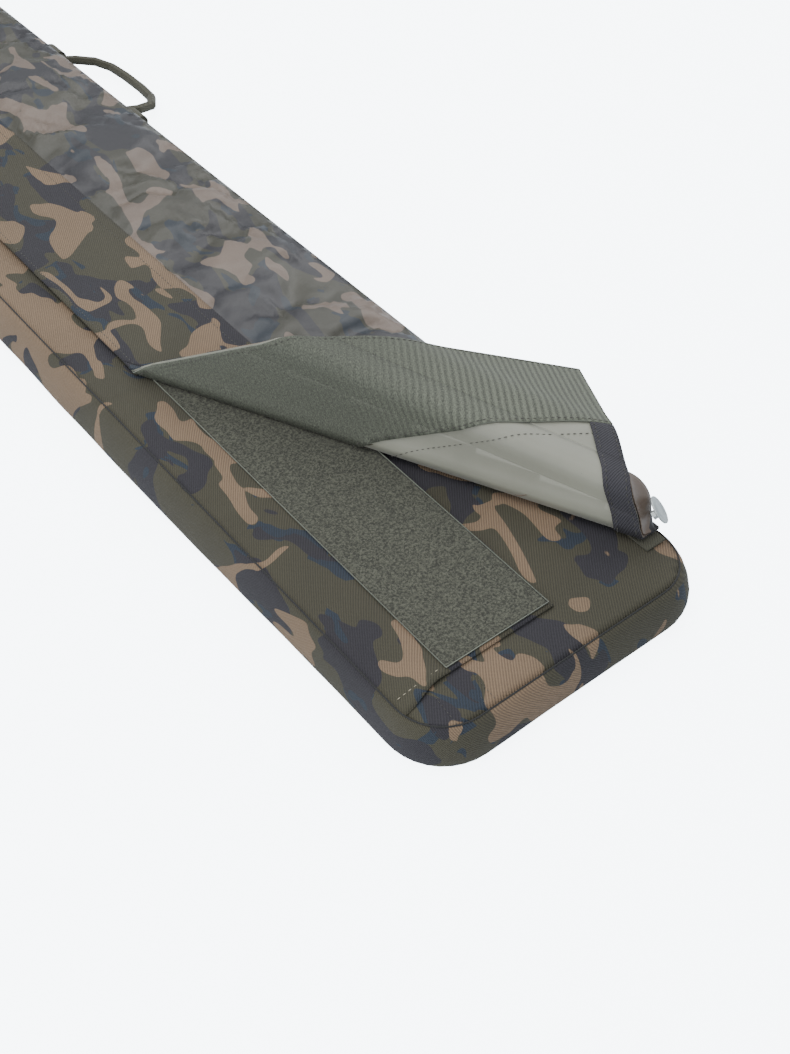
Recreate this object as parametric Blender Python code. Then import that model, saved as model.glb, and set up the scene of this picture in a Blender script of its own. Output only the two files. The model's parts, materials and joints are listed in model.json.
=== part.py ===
"""Padded rod case with an outer sleeve pocket whose long flap is peeled back at the butt end.

Metres, +Z up. The case lies flat with the middle of its underside at the origin, its length along Y
(the butt end at -Y) and the side that carries the zip sliders and the handle at +X.
"""

import math

import bmesh
import bpy
from mathutils import Matrix, Vector

# Overall sizes, measured on the seam line round the top panel.
SEAM_WIDTH = 0.270
SEAM_LENGTH = 1.950
CORNER_RADIUS = 0.042
WALL_BULGE = 0.005
GAP = 0.0003

# Heights of the layers, from the ground up.
BACK_PANEL = 0.0015
BACK_FOAM = 0.0044
LINING = 0.0011
ZIP_LOW = 0.0020
ZIP_STRIP = 0.0040
ZIP_OUTSET = 0.0010
ZIP_INSET = 0.0027
SPINE_RADIUS = 0.0019
SPINE_OUTSET = 0.0022
SPINE_MARGIN = 0.0040
WALL_LOW = 0.0118
WALL_HIGH = 0.0374
WALL_THICKNESS = 0.0080
WALL_ROUNDING = 0.0030
LID_LINING_DROP = 0.0044
LID_FOAM = 0.0037
LID_PANEL_LIFT = 0.0011
LID_PANEL = 0.0015
PIPING_RADIUS = 0.0012
PLACKET_LIFT = 0.0010
PLACKET = 0.0011
TAPE = 0.0016
FLAP_SHEET = 0.0010

# Sleeve pocket, measured from the left seam and from the butt seam.
PLACKET_WIDTH = 0.151
PLACKET_START = 0.040
TAPE_WIDTH = 0.100
LOOP_TAPE_LEFT = 0.049
LOOP_TAPE_START = 0.045
FLAP_LEFT = 0.039
FLAP_START = 0.046
FLAP_RIGHT_MARGIN = 0.002
FLAP_BAND_WIDTH = 0.103
HOOK_TAPE_MARGIN = 0.001
FLAP_TIP_MARGIN = 0.040
HEM_WIDTH = 0.020
GUSSET_WIDTH = 0.004
GUSSET_START = 0.105

# Fold lines of the peeled flap: where each meets the free edge, where it meets the hem, and its angle.
FOLDS = (
    (0.472, 0.251, 101.8),
    (0.314, 0.211, 76.0),
    (0.233, 0.162, 21.4),
)
FOLD_CLEARANCE = 0.0006

# Small hardware.
SNAP_RADIUS = 0.0100
SNAP_CAP = 0.0020
SNAP_TAPER = 0.9
SNAP_RIGHT_MARGIN = 0.0010
SNAP_START = 0.0480
SNAP_HEIGHT = 0.0225
SNAP_FACING = (0.617, -0.467, 0.633)
SNAP_POST_LENGTH = 0.0060
SNAP_POST_RADII = (0.0040, 0.0030)
SNAP_TAB_WIDTH = 0.0200
SNAP_TAB_MARGIN = 0.0035
SNAP_TAB_START = 0.0370
SNAP_TAB_END = 0.0950
CORNER_FOLD_HEIGHT = 0.0080
CORNER_FOLD_WIDTH = 0.0160
CORNER_FOLD_START = 0.0020
CORNER_FOLD_END = 0.0600
STRAP_WIDTH = 0.038
STRAP_SIDE_MARGIN = 0.020
STRAP_END_MARGIN = 0.355
SLIDER_HEIGHT = 0.0080
SLIDER_LENGTH = 0.0110
SLIDER_DEPTH = 0.0040
SLIDER_PLACE = 0.0120
LEDGE_THICKNESS = 0.0012
LEDGE_WIDTH = 0.0036
LEDGE_REACH = 0.0080
LEDGE_BITE = 0.0010
POST_RADIUS = 0.0012
POST_REACH = 0.0068
POST_BITE = 0.0004
PULL_LENGTH = 0.0280
PULL_THICKNESS = 0.0015
PULL_HEIGHT = 0.0050
PULL_EYE_WALL = 0.0011
EYE_CLEARANCE = 0.0004
EYE_WALL = 0.0016
EYE_SETBACK = 0.0006
EYE_ABOVE_WALL_FOOT = 0.0107
RING_RADIUS = 0.0020
RING_WIDTH = 0.0300
RING_DEPTH = 0.0160
RING_END_MARGIN = 0.175
RING_TAB_FOOT = 0.0100
TAB_WIDTH = 0.0220
HANDLE_RADIUS = 0.0055
HANDLE_SPAN = 0.150
HANDLE_REACH = 0.052
HANDLE_DROP = 15.0
ANCHOR_WIDTH = 0.026
ANCHOR_FOOT = 0.0095
ANCHOR_MARGIN = 0.002
LOOP_SPAN = 0.070
LOOP_REACH = 0.040
LOOP_RADIUS = 0.0045
LOOP_DROP = 20.0
LOOP_ANCHOR_WIDTH = 0.018

HALF_WIDTH = SEAM_WIDTH / 2
HALF_LENGTH = SEAM_LENGTH / 2
SIDE = HALF_WIDTH + WALL_BULGE
TIP = HALF_LENGTH + WALL_BULGE
FLAP_RIGHT = SEAM_WIDTH - FLAP_RIGHT_MARGIN
RING_PLACE = HALF_LENGTH - RING_END_MARGIN
STRAP_REACH = HALF_LENGTH - STRAP_END_MARGIN
EYE_HEIGHT = WALL_LOW + EYE_ABOVE_WALL_FOOT
LID_LINING_LOW = WALL_HIGH - LID_LINING_DROP
LID_PANEL_LOW = WALL_HIGH + LID_PANEL_LIFT
LID_TOP = LID_PANEL_LOW + LID_PANEL
PLACKET_LOW = LID_TOP + PLACKET_LIFT
LOOP_LOW = PLACKET_LOW + PLACKET + GAP
HOOK_LOW = LOOP_LOW + TAPE + GAP
FLAP_LOW = HOOK_LOW + TAPE + GAP
BAND_LOW = FLAP_LOW + FLAP_SHEET + GAP
FLAP_TOP = BAND_LOW + FLAP_SHEET
FLAP_END = SEAM_LENGTH - FLAP_TIP_MARGIN


def finish(name, color, roughness, metallic=0.0):
    """A plain material in one colour."""
    made = bpy.data.materials.new(name)
    made.use_nodes = True
    shader = made.node_tree.nodes["Principled BSDF"]
    shader.inputs["Base Color"].default_value = (*color, 1.0)
    shader.inputs["Roughness"].default_value = roughness
    shader.inputs["Metallic"].default_value = metallic
    return made


def add_object(name, mesh, material, parent=None):
    """Puts a mesh into the scene as a named piece; a parent keeps the piece where its mesh says."""
    piece = bpy.data.objects.new(name, mesh)
    mesh.materials.append(material)
    bpy.context.scene.collection.objects.link(piece)
    piece.parent = parent
    return piece


def pivot(name, place, turn=None, parent=None):
    """An empty on a joint's axis."""
    empty = bpy.data.objects.new(name, None)
    bpy.context.scene.collection.objects.link(empty)
    empty.parent = parent
    empty.matrix_basis = Matrix.Translation(place) @ (turn or Matrix())
    return empty


def finished_mesh(name, shape):
    """The mesh of a bmesh, with its faces turned outwards."""
    bmesh.ops.recalc_face_normals(shape, faces=shape.faces[:])
    mesh = bpy.data.meshes.new(name)
    shape.to_mesh(mesh)
    shape.free()
    return mesh


def round_edges(piece, width, segments=2, angle=30.0):
    """Rounds a piece's sharp edges."""
    bevel = piece.modifiers.new("rounded_edges", "BEVEL")
    bevel.width = width
    bevel.segments = segments
    bevel.limit_method = "ANGLE"
    bevel.angle_limit = math.radians(angle)


def plate(name, outline, low, high, material, parent=None, cuts=()):
    """A flat sheet between two heights; each cut (point, normal) keeps the side that its normal leaves."""
    shape = bmesh.new()
    shape.faces.new([shape.verts.new((x, y, low)) for x, y in outline])
    for point, normal in cuts:
        every = shape.verts[:] + shape.edges[:] + shape.faces[:]
        bmesh.ops.bisect_plane(shape, geom=every, dist=1e-6, plane_co=point, plane_no=normal, clear_outer=True)
    if not shape.faces:
        shape.free()
        return None
    grown = bmesh.ops.extrude_face_region(shape, geom=shape.faces[:])
    top = [item for item in grown["geom"] if isinstance(item, bmesh.types.BMVert)]
    bmesh.ops.translate(shape, verts=top, vec=(0.0, 0.0, high - low))
    return add_object(name, finished_mesh(name, shape), material, parent)


def arc(centre, radius, start, stop, steps):
    """Points on a circle's arc, angles in degrees."""
    angles = [math.radians(start + (stop - start) * step / steps) for step in range(steps + 1)]
    return [(centre[0] + radius * math.cos(a), centre[1] + radius * math.sin(a)) for a in angles]


def butt_path(inset, steps=8):
    """The line round the butt end, from the left side to the right, set in from the seam line."""
    radius = CORNER_RADIUS - inset
    across = HALF_WIDTH - CORNER_RADIUS
    along = CORNER_RADIUS - HALF_LENGTH
    return arc((-across, along), radius, 180, 270, steps) + arc((across, along), radius, 270, 360, steps)


def tip_path(inset, steps=8):
    """The line round the tip end, from the right side to the left."""
    return [(-x, -y) for x, y in butt_path(inset, steps)]


def box_outline(left, right, near, far):
    """A rectangle's corners."""
    return [(left, near), (right, near), (right, far), (left, far)]


def from_seams(across, along):
    """A place on the top, from its distances to the left seam and to the butt seam."""
    return across - HALF_WIDTH, along - HALF_LENGTH


def seam_box(left, right, near, far):
    """A rectangle measured from the left seam and from the butt seam."""
    return box_outline(left - HALF_WIDTH, right - HALF_WIDTH, near - HALF_LENGTH, far - HALF_LENGTH)


def tube(name, points, radius, material, parent=None, cyclic=False, sides=2):
    """A round bar along a line of points."""
    curve = bpy.data.curves.new(name, "CURVE")
    curve.dimensions = "3D"
    curve.bevel_depth = radius
    curve.bevel_resolution = sides
    curve.use_fill_caps = True
    line = curve.splines.new("POLY")
    line.points.add(len(points) - 1)
    for point, place in zip(line.points, points):
        point.co = (*place, 1.0)
    line.use_cyclic_u = cyclic
    return add_object(name, curve, material, parent)


def cutter(name, radius, length, place, turn, parent):
    """A round cutter, left out of the build."""
    shape = bmesh.new()
    bmesh.ops.create_cone(shape, cap_ends=True, segments=16, radius1=radius, radius2=radius, depth=length)
    bmesh.ops.transform(shape, matrix=Matrix.Translation(place) @ turn, verts=shape.verts[:])
    piece = add_object(name, finished_mesh(name, shape), FINISHES["webbing"], parent)
    piece.hide_render = True
    piece.display_type = "WIRE"
    return piece


def combine(piece, other, operation):
    """Adds another shape to a piece, or cuts it away."""
    boolean = piece.modifiers.new(other.name, "BOOLEAN")
    boolean.operation = operation
    boolean.object = other


def eye_profile(reach, outer, foot):
    """A teardrop in the XZ plane: a foot on the wall at x = 0 and a round nose about (reach, 0)."""
    return [(0.0, foot), (0.0, -foot)] + arc((reach, 0.0), outer, -80, 80, 8)


def eye_tab(name, parent, reach, bar, foot, width, shift, material):
    """A folded tab with a round hole for a bar along Y; its foot stands on the wall."""
    outer = bar + EYE_CLEARANCE + EYE_WALL
    shape = bmesh.new()
    near = shift - width / 2
    profile = eye_profile(reach, outer, foot)
    shape.faces.new([shape.verts.new((x + GAP, near, z)) for x, z in profile])
    grown = bmesh.ops.extrude_face_region(shape, geom=shape.faces[:])
    far = [item for item in grown["geom"] if isinstance(item, bmesh.types.BMVert)]
    bmesh.ops.translate(shape, verts=far, vec=(0.0, width, 0.0))
    tab = add_object(name, finished_mesh(name, shape), material, parent)
    turn = Matrix.Rotation(math.pi / 2, 4, "X")
    hole = cutter(name + "_hole", bar + EYE_CLEARANCE, 2 * width, (reach + GAP, shift, 0.0), turn, parent)
    combine(tab, hole, "DIFFERENCE")
    return tab


def back():
    """The base: outer panel, foam, lining, the lower zip strip, the spine binding and the rod straps."""
    inset = WALL_THICKNESS - WALL_BULGE + GAP
    outline = butt_path(0.0) + tip_path(0.0)
    plate("back_panel", outline, 0.0, BACK_PANEL, FINISHES["camo"])
    inner = butt_path(inset) + tip_path(inset)
    foam_low = BACK_PANEL + GAP
    foam_high = foam_low + BACK_FOAM
    plate("back_foam", inner, foam_low, foam_high, FINISHES["foam"])
    plate("back_lining", inner, foam_high + GAP, foam_high + GAP + LINING, FINISHES["lining"])
    strap_low = foam_high + 2 * GAP + LINING
    reach = HALF_WIDTH - STRAP_SIDE_MARGIN
    for number, place in enumerate((-STRAP_REACH, 0.0, STRAP_REACH), start=1):
        strip = box_outline(-reach, reach, place - STRAP_WIDTH / 2, place + STRAP_WIDTH / 2)
        plate(f"rod_strap_{number}", strip, strap_low, strap_low + TAPE, FINISHES["webbing"])


def zip_strip(name, low):
    """One half of the zip, round both ends and the right side."""
    outer = butt_path(-ZIP_OUTSET) + tip_path(-ZIP_OUTSET)
    inner = butt_path(ZIP_INSET) + tip_path(ZIP_INSET)
    return plate(name, outer + inner[::-1], low, low + ZIP_STRIP, FINISHES["zip"])


def spine():
    """The bound seam at the left, on which the lid turns."""
    reach = HALF_LENGTH - CORNER_RADIUS - SPINE_MARGIN
    across = -HALF_WIDTH - SPINE_OUTSET
    height = ZIP_LOW + ZIP_STRIP
    tube("spine_binding", [(across, -reach, height), (across, reach, height)], SPINE_RADIUS, FINISHES["trim"])


def lid_walls():
    """The four padded walls, rounded outside."""
    inset = WALL_THICKNESS - WALL_BULGE
    straight = HALF_LENGTH - CORNER_RADIUS - GAP
    inner = HALF_WIDTH - inset
    for name, side in (("left_wall", -1), ("right_wall", 1)):
        outline = box_outline(*sorted((side * inner, side * SIDE)), -straight, straight)
        wall = plate(name, outline, WALL_LOW, WALL_HIGH, FINISHES["camo"])
        round_edges(wall, WALL_ROUNDING)
    for name, path in (("butt_end_wall", butt_path), ("tip_end_wall", tip_path)):
        wall = plate(name, path(-WALL_BULGE) + path(inset)[::-1], WALL_LOW, WALL_HIGH, FINISHES["camo"])
        round_edges(wall, WALL_ROUNDING, angle=50.0)


def lid_top():
    """The lid's lining, foam and outer panel with the piped seam round them."""
    inset = WALL_THICKNESS - WALL_BULGE + GAP
    inner = butt_path(inset) + tip_path(inset)
    foam_low = LID_LINING_LOW + LINING + GAP
    plate("lid_lining", inner, LID_LINING_LOW, LID_LINING_LOW + LINING, FINISHES["lining"])
    plate("lid_foam", inner, foam_low, foam_low + LID_FOAM, FINISHES["foam"])
    outline = butt_path(2 * PIPING_RADIUS + GAP) + tip_path(2 * PIPING_RADIUS + GAP)
    plate("lid_panel", outline, LID_PANEL_LOW, LID_TOP, FINISHES["camo"])
    height = WALL_HIGH + GAP + PIPING_RADIUS
    ring = [(x, y, height) for x, y in butt_path(PIPING_RADIUS) + tip_path(PIPING_RADIUS)]
    tube("seam_piping", ring, PIPING_RADIUS, FINISHES["trim"], cyclic=True)


def placket_and_loop():
    """The strip sewn over the left of the lid, and the loop tape on it."""
    left = 2 * PIPING_RADIUS + GAP
    strip = seam_box(left, PLACKET_WIDTH, PLACKET_START, FLAP_END)
    plate("placket", strip, PLACKET_LOW, PLACKET_LOW + PLACKET, FINISHES["camo"])
    tape = seam_box(LOOP_TAPE_LEFT, LOOP_TAPE_LEFT + TAPE_WIDTH, LOOP_TAPE_START, FLAP_END)
    plate("loop_tape", tape, LOOP_LOW, LOOP_LOW + TAPE, FINISHES["loop"])
    start = seam_box(FLAP_RIGHT - GUSSET_WIDTH, FLAP_RIGHT, GUSSET_START, FLAP_END)
    plate("pocket_gusset", start, LID_TOP + GAP, FLAP_LOW - GAP, FINISHES["camo"])


def fold_line(number):
    """A fold's two ends on the closed flap, at the height of the flap's top."""
    along, across, _ = FOLDS[number]
    free = Vector((*from_seams(FLAP_LEFT, along), FLAP_TOP))
    hem = Vector((*from_seams(across, FLAP_START), FLAP_TOP))
    return free, hem


def fold_sides(number):
    """The planes that trim the flap on each side of a fold: (point, normal) pairs for the far and near side."""
    free, hem = fold_line(number)
    direction = (hem - free).normalized()
    outward = Vector((direction.y, -direction.x, 0.0))
    return (free - outward * FOLD_CLEARANCE / 2, outward), (free + outward * FOLD_CLEARANCE / 2, -outward)


def fold_turn(number):
    """The turn about the fold line that opens the flap there."""
    free, hem = fold_line(number)
    axis = (free - hem).normalized()
    return Matrix.Rotation(math.radians(FOLDS[number][2]), 4, axis)


def flap_layers(suffix, cuts, parent, place):
    """The flap between two folds: the coated sheet, the band on it, and the hook tape and hem below it."""
    bounds = (FLAP_START, FLAP_END)
    sheet = seam_box(FLAP_LEFT, FLAP_RIGHT, *bounds)
    band = seam_box(FLAP_LEFT, FLAP_LEFT + FLAP_BAND_WIDTH, *bounds)
    tape_left = FLAP_LEFT + HOOK_TAPE_MARGIN
    tape_right = tape_left + TAPE_WIDTH
    tape = seam_box(tape_left, tape_right, *bounds)
    hem = seam_box(tape_right + HOOK_TAPE_MARGIN, FLAP_RIGHT, FLAP_START, FLAP_START + HEM_WIDTH)
    layers = (
        ("flap_sheet_", sheet, FLAP_LOW, FLAP_LOW + FLAP_SHEET, "coated"),
        ("flap_band_", band, BAND_LOW, FLAP_TOP, "camo"),
        ("hook_tape_", tape, HOOK_LOW, HOOK_LOW + TAPE, "hook"),
        ("hem_", hem, HOOK_LOW, HOOK_LOW + TAPE, "trim"),
    )
    for prefix, outline, low, high, material in layers:
        layer = plate(prefix + suffix, outline, low, high, FINISHES[material], parent, cuts)
        layer.location = place


def flap():
    """The flap in four stretches: one closed on the pocket, and three that its folds carry."""
    near, far = [], []
    for number in range(len(FOLDS)):
        kept, moved = fold_sides(number)
        near.append(kept)
        far.append(moved)
    flap_layers("upper", [near[0]], None, Vector())
    parent = None
    last = Vector()
    for number in range(len(FOLDS)):
        free, _ = fold_line(number)
        parent = pivot(f"fold_{number + 1}", free - last, fold_turn(number), parent)
        cuts = [far[number]] + near[number + 1:number + 2]
        flap_layers(str(number + 1), cuts, parent, -free)
        last = free


def snap():
    """The press stud at the flap's lower right corner, on a raised fold of the coated sheet, and its tab."""
    right = SEAM_WIDTH - SNAP_TAB_MARGIN
    tab = seam_box(right - SNAP_TAB_WIDTH, right, SNAP_TAB_START, SNAP_TAB_END)
    plate("snap_tab", tab, LID_TOP + GAP, LID_TOP + GAP + TAPE, FINISHES["trim"])
    facing = Vector(SNAP_FACING).normalized()
    place = Vector((*from_seams(SEAM_WIDTH - SNAP_RIGHT_MARGIN, SNAP_START), LID_TOP + SNAP_HEIGHT))
    turn = Vector((0.0, 0.0, 1.0)).rotation_difference(facing).to_matrix().to_4x4()
    shape = bmesh.new()
    bmesh.ops.create_cone(shape, cap_ends=True, segments=24, radius1=SNAP_RADIUS,
                          radius2=SNAP_RADIUS * SNAP_TAPER, depth=SNAP_CAP)
    cap = add_object("snap_cap", finished_mesh("snap_cap", shape), FINISHES["steel"])
    cap.matrix_world = Matrix.Translation(place) @ turn
    shape = bmesh.new()
    wide, narrow = SNAP_POST_RADII
    bmesh.ops.create_cone(shape, cap_ends=True, segments=12, radius1=wide, radius2=narrow,
                          depth=SNAP_POST_LENGTH)
    post = add_object("snap_post", finished_mesh("snap_post", shape), FINISHES["steel"])
    below = SNAP_CAP / 2 + GAP + SNAP_POST_LENGTH / 2
    post.matrix_world = Matrix.Translation(place - facing * below) @ turn
    fold = seam_box(FLAP_RIGHT - CORNER_FOLD_WIDTH, FLAP_RIGHT, FLAP_START + CORNER_FOLD_START,
                    FLAP_START + CORNER_FOLD_END)
    raised = plate("flap_corner_fold", fold, BAND_LOW, BAND_LOW + CORNER_FOLD_HEIGHT, FINISHES["coated"])
    round_edges(raised, WALL_ROUNDING)


def zip_slider(letter, side):
    """A slider that rides on the lower zip strip, and its pull on a post."""
    centre = ZIP_LOW + ZIP_STRIP + GAP / 2
    place = (HALF_WIDTH + ZIP_OUTSET + GAP, side * SLIDER_PLACE, centre)
    rider = pivot("slider_" + letter, place)
    half = SLIDER_LENGTH / 2
    low = -SLIDER_HEIGHT / 2
    body = plate("zip_slider_" + letter, box_outline(0.0, SLIDER_DEPTH, -half, half), low, -low,
                 FINISHES["steel"], rider)
    ledge_top = low + LEDGE_THICKNESS
    ledge_outline = box_outline(LEDGE_BITE, LEDGE_REACH, -LEDGE_WIDTH / 2, LEDGE_WIDTH / 2)
    ledge = plate("slider_ledge_" + letter, ledge_outline, low, ledge_top, FINISHES["steel"], rider)
    ledge.hide_render = True
    ledge.display_type = "WIRE"
    length = PULL_HEIGHT + LEDGE_THICKNESS
    middle = ledge_top - POST_BITE + length / 2
    post = cutter("slider_post_" + letter, POST_RADIUS, length, (POST_REACH, 0.0, middle), Matrix(), rider)
    combine(body, ledge, "UNION")
    combine(body, post, "UNION")
    swing = pivot("pull_pivot_" + letter, (POST_REACH, 0.0, 0.0), parent=rider)
    hole = POST_RADIUS + EYE_CLEARANCE
    outer = hole + PULL_EYE_WALL
    thin = PULL_THICKNESS / 2
    outline = [(-thin, side * PULL_LENGTH), (thin, side * PULL_LENGTH)]
    outline += arc((0.0, 0.0), outer, *((60, -240) if side > 0 else (-60, 240)), 14)
    pull_low = ledge_top + GAP
    pull = plate("zip_pull_" + letter, outline, pull_low, pull_low + PULL_HEIGHT, FINISHES["zip"], swing)
    through = cutter("pull_hole_" + letter, hole, PULL_LENGTH, (0.0, 0.0, 0.0), Matrix(), swing)
    combine(pull, through, "DIFFERENCE")


def bail(name, parent, span, reach, stub, radius, material):
    """A round bar bent into an arch, with straight ends along Y in their tabs."""
    half = span / 2
    bend = [(x * reach, y * half) for x, y in ((0.0, 1.0), (0.30, 0.99), (0.72, 0.88), (0.94, 0.62), (1.0, 0.25))]
    side = [(0.0, half + stub)] + bend
    points = [(x, -y, 0.0) for x, y in side] + [(x, y, 0.0) for x, y in side[::-1]]
    return tube(name, points, radius, material, parent)


def bail_set(prefix, names, place, turn, sizes, drop, material):
    """A handle that swings on two sewn tabs."""
    span, reach, radius, width = sizes
    seat = pivot(prefix + "_seat", place, turn)
    eye_reach = radius + EYE_CLEARANCE + EYE_WALL + EYE_SETBACK
    for name, side in zip(names, (-1, 1)):
        shift = side * (span / 2 + width / 2 + radius + ANCHOR_MARGIN)
        eye_tab(name, seat, eye_reach, radius, ANCHOR_FOOT, width, shift, FINISHES["webbing"])
    swing = pivot(prefix + "_swing", (eye_reach + GAP, 0.0, 0.0), Matrix.Rotation(math.radians(drop), 4, "Y"), seat)
    bail(prefix, swing, span, reach, width + radius + ANCHOR_MARGIN, radius, material)


def ring_set(suffix, along):
    """A D ring that hangs in its tab on the right wall."""
    seat = pivot("ring_seat_" + suffix, (SIDE, along, EYE_HEIGHT))
    reach = RING_RADIUS + EYE_CLEARANCE + EYE_WALL + EYE_SETBACK
    eye_tab("ring_tab_" + suffix, seat, reach, RING_RADIUS, RING_TAB_FOOT, TAB_WIDTH, 0.0, FINISHES["webbing"])
    swing = pivot("ring_swing_" + suffix, (reach + GAP, 0.0, 0.0), parent=seat)
    half = RING_WIDTH / 2
    straight = [(0.0, -half, 0.0), (0.0, half, 0.0)]
    bow = [(0.0, y, z) for y, z in arc((0.0, -RING_DEPTH + half * 0.8), half, 0, -180, 12)]
    tube("d_ring_" + suffix, straight + bow, RING_RADIUS, FINISHES["steel"], swing, cyclic=True)


for old in list(bpy.data.objects):
    bpy.data.objects.remove(old)

FINISHES = {
    "camo": finish("camouflage_cloth", (0.13, 0.12, 0.08), 0.85),
    "coated": finish("coated_cloth", (0.20, 0.16, 0.12), 0.45),
    "lining": finish("lining_cloth", (0.26, 0.26, 0.20), 0.60),
    "foam": finish("foam", (0.30, 0.30, 0.30), 0.90),
    "loop": finish("loop_tape_pile", (0.09, 0.10, 0.07), 0.95),
    "hook": finish("hook_tape_plastic", (0.13, 0.15, 0.12), 0.70),
    "trim": finish("twill_trim", (0.05, 0.05, 0.05), 0.85),
    "webbing": finish("webbing", (0.06, 0.07, 0.04), 0.85),
    "zip": finish("zip_nylon", (0.03, 0.03, 0.03), 0.60),
    "steel": finish("brushed_steel", (0.55, 0.57, 0.58), 0.35, 1.0),
}

back()
zip_strip("zip_strip_back", ZIP_LOW)
zip_strip("zip_strip_lid", ZIP_LOW + ZIP_STRIP + GAP)
spine()
lid_walls()
lid_top()
placket_and_loop()
flap()
snap()
zip_slider("butt", -1)
zip_slider("tip", 1)
bail_set("carry_handle", ("handle_tab_butt", "handle_tab_tip"), (SIDE, 0.0, EYE_HEIGHT), Matrix(),
         (HANDLE_SPAN, HANDLE_REACH, HANDLE_RADIUS, ANCHOR_WIDTH), HANDLE_DROP, FINISHES["webbing"])
bail_set("grab_loop", ("loop_tab_right", "loop_tab_left"), (0.0, TIP, EYE_HEIGHT),
         Matrix.Rotation(math.pi / 2, 4, "Z"), (LOOP_SPAN, LOOP_REACH, LOOP_RADIUS, LOOP_ANCHOR_WIDTH), LOOP_DROP,
         FINISHES["webbing"])
ring_set("butt", -RING_PLACE)
ring_set("tip", RING_PLACE)
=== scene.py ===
"""The looks of a padded rod case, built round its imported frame.

The case lies flat, its length along Y. A long flap closes its sleeve pocket, peeled back at the butt end.
Every soft piece replaces the plain solid of the same name, and keeps its place.
"""

import sys

import json
import logging
import math
from dataclasses import dataclass, field
from enum import Enum
from typing import Callable, Iterable, Sequence

import bmesh
import bpy
from mathutils import Matrix, Vector, noise

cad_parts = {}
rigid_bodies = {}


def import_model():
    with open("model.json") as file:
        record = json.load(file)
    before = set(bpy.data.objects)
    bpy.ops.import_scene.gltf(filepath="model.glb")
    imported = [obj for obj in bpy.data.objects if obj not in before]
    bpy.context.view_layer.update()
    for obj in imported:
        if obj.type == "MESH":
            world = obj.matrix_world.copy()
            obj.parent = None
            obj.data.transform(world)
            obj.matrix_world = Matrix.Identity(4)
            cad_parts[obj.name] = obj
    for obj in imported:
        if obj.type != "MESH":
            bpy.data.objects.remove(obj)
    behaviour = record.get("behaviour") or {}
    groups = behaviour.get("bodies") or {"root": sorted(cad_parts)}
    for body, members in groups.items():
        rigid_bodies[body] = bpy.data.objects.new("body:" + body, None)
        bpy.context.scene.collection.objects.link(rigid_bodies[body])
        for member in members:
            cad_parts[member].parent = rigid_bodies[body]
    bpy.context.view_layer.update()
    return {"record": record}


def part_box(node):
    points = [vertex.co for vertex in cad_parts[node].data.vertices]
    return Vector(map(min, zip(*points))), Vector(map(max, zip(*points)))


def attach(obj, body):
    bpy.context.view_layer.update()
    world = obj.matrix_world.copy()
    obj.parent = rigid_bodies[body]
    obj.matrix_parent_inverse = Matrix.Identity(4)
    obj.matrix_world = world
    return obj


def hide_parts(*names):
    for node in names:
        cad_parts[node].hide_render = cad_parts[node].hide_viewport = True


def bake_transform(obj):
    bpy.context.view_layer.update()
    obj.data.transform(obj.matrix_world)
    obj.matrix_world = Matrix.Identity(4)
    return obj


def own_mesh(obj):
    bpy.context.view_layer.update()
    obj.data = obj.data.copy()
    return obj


LOG = logging.getLogger("rod_case")
MM = 0.001
UV_NAME = "cloth"
Point = tuple[float, float, float]
Colour = tuple[float, float, float]


class Placement(Enum):
    """Where a pattern takes its coordinates from."""

    OBJECT = "Object"
    CLOTH = "UV"


# ---------------------------------------------------------------- shader groups


def group_tree(name: str, inputs: Sequence[tuple[str, str]],
               outputs: Sequence[tuple[str, str]]) -> bpy.types.NodeTree:
    """A new shader node group with named sockets.

    Args:
        name: The group's name.
        inputs: Pairs of socket name and socket type.
        outputs: Pairs of socket name and socket type.

    Returns:
        The node tree, holding only its input and output nodes.
    """
    tree = bpy.data.node_groups.new(name, "ShaderNodeTree")
    for label, kind in inputs:
        tree.interface.new_socket(label, in_out="INPUT", socket_type=kind)
    for label, kind in outputs:
        tree.interface.new_socket(label, in_out="OUTPUT", socket_type=kind)
    tree.nodes.new("NodeGroupInput").name = "in"
    tree.nodes.new("NodeGroupOutput").name = "out"
    return tree


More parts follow.
